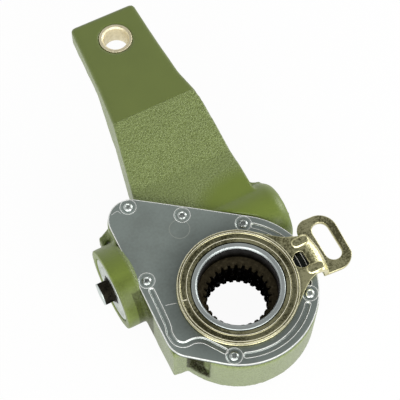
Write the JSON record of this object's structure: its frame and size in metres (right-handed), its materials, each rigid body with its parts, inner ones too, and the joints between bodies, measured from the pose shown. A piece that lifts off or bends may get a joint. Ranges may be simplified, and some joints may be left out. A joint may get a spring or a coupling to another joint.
{
  "type": "brake slack adjuster",
  "caption": "Automatic slack adjuster for a drum brake: splined worm wheel, worm shaft with hexagon, arm with bushed eye, and a control arm with a slotted loop.",
  "frame": {"origin": "axis of the splined bore, at the lower end of the worm wheel", "axes": "+Z along the splined bore towards the cover, +X along the worm shaft away from its hexagon, +Y towards the eye of the arm"},
  "size_m": [0.1302, 0.224, 0.0482],
  "materials": {
    "green_casting": "satin",
    "cover_steel": "satin",
    "gold_zinc": "satin",
    "bright_steel": "satin",
    "dark_steel": "satin",
    "zinc_steel": "satin",
    "black_rubber": "matte",
    "gasket_board": "matte",
    "bronze": "satin"
  },
  "bodies": {
    "housing": {"housing": "green_casting", "arm_bush": "bright_steel", "cover_gasket": "gasket_board", "cover_plate": "cover_steel", "cover_screws": "cover_steel", "front_cover": "zinc_steel", "shaft_seal": "black_rubber", "front_bush": "bronze", "rear_bearing": "bright_steel", "thrust_washer": "bright_steel", "rear_cap": "zinc_steel", "wheel_seal": "black_rubber", "control_seal": "black_rubber", "clutch_spring": "bright_steel", "rack_spring": "bright_steel"},
    "worm": {"worm_shaft": "dark_steel", "clutch_ring": "dark_steel"},
    "wheel": {"worm_wheel": "dark_steel", "hub_ring": "bright_steel"},
    "clutch": {"clutch_gear": "dark_steel"},
    "rack": {"rack": "dark_steel"},
    "control": {"control_arm": "gold_zinc", "control_disc": "gold_zinc"}
  },
  "joints": [
    {"name": "worm_spin", "type": "hinge", "parent": "housing", "child": "worm", "pos_m": [0, 0.0369, 0.015], "axis": [1, 0, 0], "continuous": true},
    {"name": "wheel_spin", "type": "hinge", "parent": "housing", "child": "wheel", "pos_m": [0, 0, 0.015], "axis": [0, 0, 1], "continuous": true},
    {"name": "control_swing", "type": "hinge", "parent": "housing", "child": "control", "pos_m": [0, 0, 0.0345], "axis": [0, 0, 1], "range_deg": [-25, 0]},
    {"name": "rack_slide", "type": "slide", "parent": "housing", "child": "rack", "axis": [0, 1, 0], "range_m": [0, 0.0137], "deforming": ["rack_spring"]},
    {"name": "clutch_spin", "type": "hinge", "parent": "housing", "child": "clutch", "pos_m": [-0.0346, 0.0369, 0.015], "axis": [1, 0, 0], "range_deg": [-83, 0]}
  ],
  "couplings": [
    {"joint": "wheel_spin", "follows": "worm_spin", "ratio": 0.043478},
    {"joint": "rack_slide", "follows": "control_swing", "m_per_rad": -0.031},
    {"joint": "clutch_spin", "follows": "control_swing", "ratio": 3.263}
  ]
}
